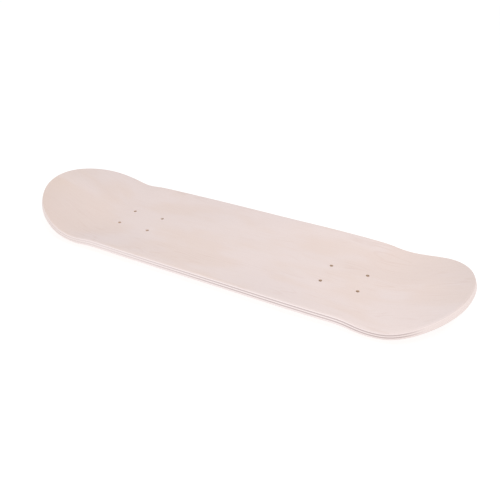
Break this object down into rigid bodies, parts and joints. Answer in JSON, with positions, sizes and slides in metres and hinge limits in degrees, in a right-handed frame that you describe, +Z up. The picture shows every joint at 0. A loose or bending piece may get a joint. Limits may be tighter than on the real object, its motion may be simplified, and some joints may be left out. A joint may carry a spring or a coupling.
{
  "type": "skateboard deck",
  "caption": "Bare maple skateboard deck: pressed veneers with turned-up nose and tail, dished middle, rounded rim and two truck bolt patterns.",
  "frame": {"origin": "centre of the outer box, on the flat of the underside", "axes": "+X from nose to tail, +Y across the deck, +Z up, out of the side that is stood on"},
  "size_m": [0.6862, 0.2066, 0.0551],
  "materials": {
    "face_maple": "smooth sanded maple, grain along the deck, unfinished",
    "core_maple": "maple veneer, grain along the deck, its sanded edge shows at the rim",
    "crossband_maple": "maple veneer, grain across the deck, its darker end grain shows at the rim"
  },
  "bodies": {
    "root": {"ply_1_bottom_face": "face_maple", "ply_2_lower_core": "core_maple", "ply_3_lower_crossband": "crossband_maple", "ply_4_middle_core": "core_maple", "ply_5_upper_crossband": "crossband_maple", "ply_6_upper_core": "core_maple", "ply_7_top_face": "face_maple"}
  },
  "joints": []
}
